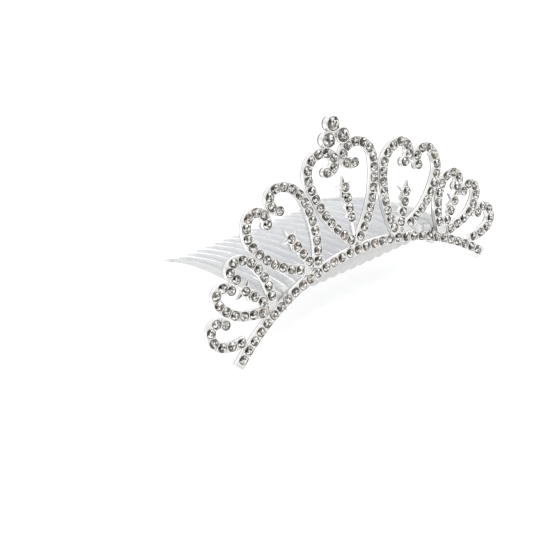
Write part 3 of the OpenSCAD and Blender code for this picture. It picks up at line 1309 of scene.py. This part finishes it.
    def _cup(self, size: float) -> Mesh:
        """Makes the cup of a stone of a size."""
        radius, depths = self._hole(size) + self.cup_wall, (self.rim_front, self.cup_depth)
        return turned((radius, radius - self.cup_taper), depths, self.cup_round)

    def _seat(self, size: float) -> Mesh:
        """Makes the cutter of the seat of a stone of a size."""
        return turned((self._hole(size),) * 2, self.seat_depths, segments=24)

    def _hole(self, size: float) -> float:
        """Gives the radius of the seat of a stone of a size."""
        return size / 2 + self.seat_gap

    def _seats(self, spots: Sequence[Spot]) -> None:
        """Adds the seats of a row.

        Args:
            spots: centres of its stones.
        """
        size = self.layout.stone
        self.seats.append(copies(self._seat(size), [spot.station() for spot in spots]))
        self.holes.extend((spot, self._hole(size), self.rim_front) for spot in spots)

    def _bars(self, spots: Sequence[Spot]) -> None:
        """Adds the bars of a row."""
        self.parts.append(copies(self._bar(), [spot.station() for spot in spots]))

    @staticmethod
    def _corners(spot: Spot, out: float, back: float) -> list[Matrix]:
        """Works out where the four prongs of a cup stand.

        Args:
            spot: centre of the cup.
            out: distance of a prong from it.
            back: Y of a prong.

        Returns:
            A matrix for each prong.
        """
        turns = (math.pi / 4 + number * math.pi / 2 for number in range(4))
        shift = Matrix.Translation((out, back, 0))
        return [spot.station() @ Matrix.Rotation(turn, 4, "Y") @ shift for turn in turns]

    def _band(self) -> None:
        """Adds the arched band with its square ends."""
        lay = self.layout
        reach, steps = lay.band_half + lay.band_tail, self.band_steps
        line = [lay.band_at(reach * (2 * i / steps - 1)) for i in range(steps + 1)]
        self.parts.append(swept(self._section(), [spot.station() for spot in line]))
        self.channels.extend(line)
        self._seats(lay.band_centres())
        self._bars(lay.band_gaps())

    def _strand(self, strand: Strand, side: Side) -> None:
        """Adds one strand of a heart or an end curl, with a round tip.

        Args:
            strand: the strand.
            side: the half that it goes to.
        """
        line = [s.on_side(side) for s in strand.line(self.line_step) if self._clear_of_band(s)]
        self.parts.append(swept(self._section(), [spot.station() for spot in line]))
        self.channels.extend(line)
        centres = [spot.on_side(side) for spot in strand.centres()]
        radius, depths = self.layout.strip_width / 2, (self.rim_front, self.layout.thickness)
        tip = turned((radius, radius), depths, self.rim_round)
        self.parts.append(moved(tip, centres[-1].station()))
        self._seats(centres)
        self._bars([s.on_side(side) for s in strand.gaps() if self._clear_of_band(s)])

    def _clear_of_band(self, spot: Spot) -> bool:
        """Tells whether a spot lies outside the inner part of the band."""
        radius = self.layout.band_radius
        return math.hypot(spot.x, spot.z + radius) - radius > self.band_inside

    def _stem(self, stem: Stem, side: Side) -> None:
        """Adds a stem with its cups and its star.

        Args:
            stem: the stem.
            side: the half that it goes to.
        """
        half, (front, back) = self.layout.rod_width / 2, self.rod_depths
        section = rounded_section((front, -half), (back, half), self.rod_round)
        ends = [stem.start.onward(-stem.lead), stem.star_spot()]
        self.parts.append(swept(section, [spot.on_side(side).station() for spot in ends]))
        centres = [spot.on_side(side) for spot in stem.centres()]
        # Neighbouring cups overlap, so every other one goes into a mesh of its own.
        for first in (0, 1):
            places = [spot.station() for spot in centres[first::2]]
            self.parts.append(copies(self._cup(self.layout.stone), places))
        self._seats(centres)
        corners = [place for spot in centres for place in self._corners(spot, *self.prong_place)]
        self.parts.append(copies(bead(*self.prong), corners))
        self._star(stem.star_spot().on_side(side))

    def _star(self, spot: Spot) -> None:
        """Adds a star round the cup of a stone.

        Args:
            spot: its middle, with a ray towards the heading.
        """
        star, corners = bmesh.new(), 2 * self.star_rays
        out = bmesh.ops.create_circle(
            star, cap_ends=True, segments=corners, radius=1, matrix=TO_THE_FRONT
        )
        ring = sorted(out["verts"], key=lambda vert: math.atan2(vert.co.z, vert.co.x))
        for number, vert in enumerate(ring):
            turn = number * FULL_TURN / corners
            reach = self.star_waist if number % 2 else self.star_tip
            vert.co = Vector((math.cos(turn), 0, math.sin(turn))) * reach
        out = bmesh.ops.extrude_face_region(star, geom=star.faces[:])["geom"]
        back = picked(out, bmesh.types.BMVert)
        bmesh.ops.translate(star, vec=(0, self.star_depth, 0), verts=back)
        front = [f for f in star.faces if all(abs(v.co.y) < TINY for v in f.verts)]
        bmesh.ops.poke(star, faces=front, offset=0.0)
        bmesh.ops.recalc_face_normals(star, faces=star.faces[:])
        for vert in star.verts:
            if vert.co.length < TINY:
                vert.co.y = self.star_ridge
        station, size = spot.station(), self.layout.star_stone
        self.parts.append(moved(star, station @ Matrix.Translation((0, self.star_front, 0))))
        self.parts.append(moved(self._cup(size), station))
        self.seats.append(moved(self._seat(size), station))
        self.holes.append((spot, self._hole(size), self.rim_front))
        self.stars.append(spot)

    def _crest(self) -> None:
        """Adds the three raised cups of the crest, with their prongs."""
        lay = self.layout
        radius, hole = lay.crest_stone / 2 + self.crest_wall, lay.crest_stone / 2 + self.crest_gap
        front = -lay.crest_rise - self.crest_lip
        prong_place = (radius - self.crest_prong_inset, -lay.crest_rise - self.crest_prong_lift)
        for spot in lay.crest:
            radii = (radius, radius - self.crest_taper)
            cup = turned(radii, (front, lay.thickness), self.crest_round, 40)
            self.parts.append(moved(cup, spot.station()))
            seat = turned((hole, hole), self.crest_seat, segments=36)
            self.seats.append(moved(seat, spot.station()))
            self.holes.append((spot, hole, front))
            for place in self._corners(spot, *prong_place):
                self.parts.append(moved(bead(*self.crest_prong), place))


@dataclass(frozen=True)
class Tooth:
    """The sizes of one tooth of the comb; its tip leans to the right of its root."""

    x: float
    reach: float
    root: float
    tip: float
    lean: float = 0.0
    belly: float = 0.0


@dataclass
class HairComb:
    """The clear comb: a scalloped spine and a plate of arched teeth."""

    layout: Layout
    shop: Workshop
    finish: ClearPlastic = field(default_factory=ClearPlastic)
    crease: float = 50.0
    teeth: int = 20
    pitch: float = 3.4
    reach: float = 57.0
    spine_front: float = 2.0
    spine_back: float = 3.8
    spine_top: float = -2.0
    spine_foot: float = -5.6
    spine_round: float = 0.2
    spine_steps: int = 8
    scallop: float = 3.0
    corner: float = 1.0
    corner_foot: float = 0.9
    corner_top: float = 0.4
    root_inside: float = 0.9
    root_width: float = 1.7
    tip_width: float = 0.9
    belly: float = 0.85
    belly_end: float = 0.8
    end_root_width: float = 3.2
    end_tip_width: float = 1.3
    toe_in: float = 1.8
    tooth_round: float = 0.3
    tooth_steps: int = 34
    cap_steps: tuple[float, ...] = (0.5, 0.85, 1.0)
    cap_end: float = 0.04
    point_length: float = 6.5
    point_narrowing: float = 0.6
    point_thinning: float = 0.45
    slope_step: float = 0.5
    spine_fade: tuple[float, float] = (5.5, 2.5)
    end_density: tuple[float, float] = (0.8, 0.3)
    tip_start: float = 1.0
    tip_density: float = 2.5
    # Where painted light lifts the frame's shadow off the spine's ends.
    shadow_lift_depth: float = 4.3
    shadow_lift_foot: float = -4.0
    shadow_lift_from: float = 14.0
    shadow_lift_fade: float = 6.0
    shadow_lift_ends: tuple[float, float] = (1.1, 0.75)
    sections: tuple[Triple, ...] = (
        (3, -3.3, 2),
        (6, -2.2, 1.9),
        (10, -1.2, 1.85),
        (15, -0.3, 1.8),
        (20, 0.4, 1.75),
        (25, 0.85, 1.7),
        (30, 1.2, 1.6),
        (35, 1.35, 1.5),
        (40, 1.35, 1.4),
        (45, 1.15, 1.3),
        (50, 0.8, 1.2),
        (55, 0.25, 1.1),
        (60, -0.45, 1),
        (65, -1.3, 0.9),
        (70, -2.3, 0.8),
    )

    def build(self) -> None:
        """Makes and dresses the comb."""
        teeth = [self._tooth(self._sizes(number)) for number in range(self.teeth)]
        skin = combined(self._spine(), teeth, "UNION")
        self._tint(skin)
        material = self.finish.material()
        self.shop.piece(skin, "clear_comb", material, Slot.PLASTIC, ["comb"], self.crease)

    def _sizes(self, number: int) -> Tooth:
        """Works out the sizes of a tooth; the two outer ones are wider and longer.

        Args:
            number: its number, from the left.

        Returns:
            Its sizes.
        """
        x = (number - (self.teeth - 1) / 2) * self.pitch
        if 0 < number < self.teeth - 1:
            return Tooth(x, self.reach, self.root_width, self.tip_width, belly=self.belly)
        lean = -self.toe_in if x > 0 else self.toe_in
        reach = self.layout.end_tooth_reach
        return Tooth(x, reach, self.end_root_width, self.end_tip_width, lean)

    def _tint(self, skin: Mesh) -> None:
        """Marks where the plastic looks dense, and where painted light lifts the frame's shadow off
        the spine's ends.

        Args:
            skin: the whole comb.
        """
        dense = skin.verts.layers.float.new("dense")
        clear = skin.verts.layers.float.new("clear")
        outer = (self.teeth / 2 - 1) * self.pitch
        start, fade = self.spine_fade
        for vert in skin.verts:
            x, y, z = vert.co
            half = int(x > 0)
            end_tooth = self.end_density[half] if abs(x) > outer else 0.0
            vert[dense] = min(max((start - y) / fade, end_tooth), 1.0)
            if y > self.reach + self.tip_start:
                vert[dense] = self.tip_density
            # Painted light on the spine's ends, where the frame shades them.
            if y < self.shadow_lift_depth and z > self.shadow_lift_foot:
                share = min(max((abs(x) - self.shadow_lift_from) / self.shadow_lift_fade, 0.0), 1.0)
                vert[clear] = self.shadow_lift_ends[half] * share

    def _height(self, y: float) -> tuple[float, float]:
        """Reads the plate's sections.

        Args:
            y: depth behind the front of the frame.

        Returns:
            The middle height and the thickness of the plate there.
        """
        for low, high in pairwise(self.sections):
            if y <= high[0]:
                share = (y - low[0]) / (high[0] - low[0])
                return low[1] + share * (high[1] - low[1]), low[2] + share * (high[2] - low[2])
        return self.sections[-1][1:]

    def _tooth(self, tooth: Tooth) -> Mesh:
        """Makes one tooth.

        Args:
            tooth: its sizes.

        Returns:
            The closed mesh.
        """
        start, cap = self.spine_front + self.root_inside, tooth.tip / 2
        length, steps = tooth.reach - cap - start, self.tooth_steps
        depths = [start + length * i / steps for i in range(steps + 1)]
        depths += [tooth.reach - cap + cap * share for share in self.cap_steps]
        # The section's X runs along the tooth, its Y across the plate and its Z sideways.
        axes = Matrix(((0, 0, 1, 0), (1, 0, 0, 0), (0, 1, 0, 0), (0, 0, 0, 1)))
        stations = []
        for y in depths:
            share = (y - start) / (tooth.reach - start)
            middle, thick = self._height(y)
            ahead = self._height(y + self.slope_step)[0]
            past = max(0.0, (y - (tooth.reach - cap)) / cap)
            round_end = math.sqrt(max(0.0, 1 - past * past))
            shrink = round_end * (1 - self.cap_end) + self.cap_end
            point = min(1.0, (tooth.reach - y) / self.point_length)
            belly = tooth.belly * math.sin(math.pi * min(share / self.belly_end, 1.0)) ** 2
            width = (tooth.root + (tooth.tip - tooth.root) * share + belly) * shrink
            width *= (1 - self.point_narrowing) + self.point_narrowing * point
            thick *= (1 - self.point_thinning) + self.point_thinning * point
            size = Matrix.Diagonal((1, thick * shrink, width, 1))
            pitch = Matrix.Rotation(math.atan2(ahead - middle, self.slope_step), 4, "X")
            place = Matrix.Translation((tooth.x + tooth.lean * share, y, middle))
            stations.append(place @ pitch @ axes @ size)
        return swept(rounded_section((-0.5, -0.5), (0.5, 0.5), self.tooth_round), stations)

    def _spine(self) -> Mesh:
        """Makes the spine, with a scallop of its lower edge for each tooth.

        Returns:
            The closed mesh.
        """
        half = ((self.teeth - 1) * self.pitch + self.end_root_width) / 2
        count = round(2 * half / (self.pitch / self.spine_steps))
        middle = (self.spine_front + self.spine_back) / 2
        stations = []
        for i in range(count + 1):
            x = -half + 2 * half * i / count
            along = ((x / self.pitch + self.teeth / 2) % 1 - 0.5) * self.pitch
            drop = self.scallop - math.sqrt(self.scallop**2 - along**2)
            edge = min((half - abs(x)) / self.corner, 1.0)
            corner = (1 - math.sqrt(max(0.0, 1 - (1 - edge) ** 2))) * self.corner_foot
            foot = self.spine_foot + drop + corner
            top = self.spine_top - corner * self.corner_top
            size = Matrix.Diagonal((1, self.spine_back - self.spine_front, top - foot, 1))
            stations.append(Matrix.Translation((x, middle, (top + foot) / 2)) @ size)
        return swept(rounded_section((-0.5, -0.5), (0.5, 0.5), self.spine_round), stations)


@dataclass
class WireTie:
    """A wire wound twice round the band and the spine, with its ends twisted together."""

    layout: Layout
    shop: Workshop
    comb: HairComb
    finish: DrawnWire = field(default_factory=DrawnWire)
    crease: float = 60.0
    wire: float = 0.24
    wire_sides: int = 8
    sideways: float = 0.9
    slack: float = 0.1
    front_slack: float = 0.02
    foot_slack: float = 0.25
    band_place: float = 9.5
    turns: int = 2
    turn_steps: int = 48
    winding_width: float = 0.36
    squareness: int = 6
    tail: float = 2.2
    tail_drop: float = 2.5
    tail_inside: float = 0.75
    tail_lean: float = 35.0
    tail_steps: int = 40
    twists: float = 2.5
    twist_reach: float = 0.52
    # Painted shade of the twisted tail, on the left and on the right.
    tail_shade: tuple[float, float] = (0.15, 1.0)

    def build(self) -> None:
        """Makes and dresses both ties."""
        material = self.finish.material()
        for side in Side:
            name, tie = f"wire_tie_{side.name.lower()}", self._tie(side)
            self.shop.piece(tie, f"twisted_{name}", material, Slot.WIRE, [name], self.crease)

    def _tie(self, side: Side) -> Mesh:
        """Makes one tie.

        Args:
            side: the half that it is on.

        Returns:
            The winding and the two strands of its tail.
        """
        lay = self.layout
        spot = lay.band_at(self.band_place * lay.band_pitch * side.value)
        inside = lay.band_radius - lay.strip_width / 2
        band_foot = math.sqrt(inside**2 - spot.x**2) - lay.band_radius
        out = self.slack + self.wire / 2
        depths = (-out - self.front_slack, self.comb.spine_back + out)
        heights = (band_foot - out - self.foot_slack, self.comb.spine_top + out)
        path, count = [], self.turns * self.turn_steps
        for i in range(count + 1):
            angle = FULL_TURN * i / self.turn_steps + math.pi / 2
            x = spot.x + self.winding_width * (i / count - 0.5)
            path.append(Vector((x, *self._loop_point(angle, depths, heights))))
        tie = Assembly()
        tie.add(self._tube(path))
        winding = len(tie.mesh.verts)
        x = spot.x - self.tail_inside * side.value
        base = Vector((x, depths[0], heights[1] - self.tail_drop))
        for phase in (0.0, math.pi):
            tie.add(self._tube(self._tail(base, phase)))
        # The twisted tail gets painted shade, dark on the right where the twist shades itself,
        # faint on the left.
        layer = tie.mesh.verts.layers.float.new("dull")
        tie.mesh.verts.ensure_lookup_table()
        for vert in tie.mesh.verts[winding:]:
            vert[layer] = self.tail_shade[side is Side.RIGHT]
        return tie.mesh

    def _tail(self, base: Vector, phase: float) -> list[Vector]:
        """Works out one strand of the tail.

        Args:
            base: where the tail starts.
            phase: angle at which the strand starts, in radians.

        Returns:
            The points of the strand.
        """
        lean = math.radians(self.tail_lean)
        direction = Vector((0, -math.sin(lean), math.cos(lean)))
        across = Vector((0, math.cos(lean), math.sin(lean)))
        strand = []
        for i in range(self.tail_steps + 1):
            share = i / self.tail_steps
            angle = phase + share * self.twists * FULL_TURN
            swing = Vector((math.cos(angle), 0, 0)) + across * math.sin(angle)
            middle = base + direction * self.tail * share
            strand.append(middle + swing * self.wire * self.twist_reach)
        return strand

    def _loop_point(
        self, angle: float, depths: tuple[float, float], heights: tuple[float, float]
    ) -> tuple[float, float]:
        """Works out a point of a rounded rectangle.

        Args:
            angle: where the point is, in radians.
            depths: Y of the rectangle's front and back.
            heights: Z of its foot and top.

        Returns:
            The point's Y and Z.
        """
        (front, back), (foot, top) = depths, heights
        c, s, power = math.cos(angle), math.sin(angle), self.squareness
        reach = (abs(c) ** power + abs(s) ** power) ** (-1 / power)
        y = (front + back) / 2 + (back - front) / 2 * c * reach
        return y, (foot + top) / 2 + (top - foot) / 2 * s * reach

    def _tube(self, path: Sequence[Vector]) -> Mesh:
        """Makes a round wire.

        Args:
            path: points along its middle.

        Returns:
            The closed mesh.
        """
        section = bmesh.new()
        across = Matrix.Rotation(math.pi / 2, 4, "Y")
        bmesh.ops.create_circle(
            section, cap_ends=True, segments=self.wire_sides, radius=self.wire / 2, matrix=across
        )
        stations = []
        for number, point in enumerate(path):
            before, after = path[max(number - 1, 0)], path[min(number + 1, len(path) - 1)]
            along = (after - before).normalized()
            side = Vector((1, 0, 0)) if abs(along.x) < self.sideways else Vector((0, 1, 0))
            left = along.cross(side).normalized()
            axes = Matrix((along, left, along.cross(left))).transposed().to_4x4()
            stations.append(Matrix.Translation(point) @ axes)
        return swept(section, stations)


@dataclass(frozen=True)
class Studio:
    """The white set: a floor, a bright surround, soft lamps and the camera."""

    layout: Layout
    azimuth: float = -29.25
    elevation: float = 17.24
    roll: float = 13.60
    distance: float = 275.9
    aside: float = 23.92
    above: float = 13.94
    aim_height: float = 9.8
    focal_pixels: float = 982.6
    picture: int = 533
    sensor: float = 36.0
    clip: tuple[float, float] = (0.01, 20.0)
    floor_half: float = 3.0
    behind: Colour = (0.82, 0.82, 0.82)
    beside: Colour = (0.72, 0.72, 0.72)
    side_card: Colour = (0.64, 0.64, 0.64)
    dark_patch: Colour = (0.08, 0.08, 0.08)
    card_start: float = 0.72
    card_edge: float = 12.0
    strength: float = 1.45
    lamp_size: float = 0.3
    lamps: tuple[tuple[str, Triple, float], ...] = (
        ("key_lamp", (-0.5, -0.35, 0.75), 1.4),
        ("fill_lamp", (0.6, -0.2, 0.6), 0.7),
    )

    def build(self) -> None:
        """Makes the camera, the floor, the surround and the lamps."""
        self._camera()
        self._floor()
        self._surround()
        self._hang_lamps()
        bpy.context.scene.view_settings.view_transform = "Standard"

    def _camera(self) -> None:
        """Places the camera as the photograph saw the frame's own plane."""
        turn, rise, roll = (math.radians(a) for a in (self.azimuth, self.elevation, self.roll))
        back = Vector(
            (math.sin(turn) * math.cos(rise), -math.cos(turn) * math.cos(rise), math.sin(rise))
        )
        right = Vector((math.cos(turn), math.sin(turn), 0))
        up = back.cross(right)
        across = right * math.cos(roll) - up * math.sin(roll)
        upward = right * math.sin(roll) + up * math.cos(roll)
        aim = Vector((0, 0, self.aim_height))
        axes = Matrix((across, upward, back)).transposed().to_4x4()
        axes.translation = aim + back * self.distance - across * self.aside - upward * self.above
        world = self.layout.at_rest() @ axes
        data = bpy.data.cameras.new("camera")
        data.sensor_width = self.sensor
        data.lens = self.focal_pixels / self.picture * self.sensor
        data.clip_start, data.clip_end = self.clip
        camera = bpy.data.objects.new("camera", data)
        camera.matrix_world = Matrix.LocRotScale(world.translation, world.to_quaternion(), None)
        bpy.context.scene.collection.objects.link(camera)
        bpy.context.scene.camera = camera

    def _floor(self) -> None:
        """Lays a plain pale floor."""
        mesh = bmesh.new()
        bmesh.ops.create_grid(mesh, x_segments=1, y_segments=1, size=self.floor_half)
        floor = loose_object(mesh, "floor")
        floor.data.materials.append(PaleFloor().material())
        bpy.context.scene.collection.objects.link(floor)

    def _surround(self) -> None:
        """Lights the set from all round, with a darker patch where the camera stands."""
        world = bpy.data.worlds.new("surround")
        bpy.context.scene.world = world
        graph = Graph(world)
        camera = bpy.context.scene.camera.matrix_world
        towards = self._along(graph, camera.translation)
        across = self._along(graph, camera.col[0].to_3d())
        light = graph.ramp(
            towards * 0.5 + 0.5,
            (
                (0.1, self.behind),
                (0.45, self.beside),
                (0.88, self.beside),
                (0.95, self.dark_patch),
            ),
        )
        card = ((across * across - self.card_start) * self.card_edge).clamped()
        light = graph.mix(card, light, self.side_card)
        inputs = {"Color": light, "Strength": self.strength}
        shader = graph.out(graph.node("ShaderNodeBackground", {}, inputs))
        graph.node("ShaderNodeOutputWorld", {}, {"Surface": shader})

    @staticmethod
    def _along(graph: Graph, axis: Vector) -> Signal:
        """Tells how far a direction of the surround goes along an axis.

        Args:
            graph: the world's tree.
            axis: the axis, of any length.

        Returns:
            The cosine of the angle between them.
        """
        direction = graph.out(graph.node("ShaderNodeTexCoord"), "Generated")
        inputs = {0: direction, 1: tuple(axis.normalized())}
        node = graph.node("ShaderNodeVectorMath", {"operation": "DOT_PRODUCT"}, inputs)
        return graph.out(node, "Value")

    def _hang_lamps(self) -> None:
        """Hangs two soft lamps."""
        for name, spot, power in self.lamps:
            data = bpy.data.lights.new(name, "AREA")
            data.size = self.lamp_size
            data.energy = power
            lamp = bpy.data.objects.new(name, data)
            lamp.location = spot
            lamp.rotation_euler = Vector(spot).to_track_quat("Z", "Y").to_euler()
            bpy.context.scene.collection.objects.link(lamp)


def main() -> None:
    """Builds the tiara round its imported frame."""
    logging.basicConfig(level=logging.INFO, format="%(name)s: %(message)s")
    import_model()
    layout = Layout()
    Studio(layout).build()
    shop = Workshop(layout)
    comb = HairComb(layout, shop)
    MetalFrame(layout, shop).build()
    CutStones(layout, shop).build()
    comb.build()
    WireTie(layout, shop, comb).build()
    LOG.info("the tiara is built")


if __name__ == "__main__":
    main()
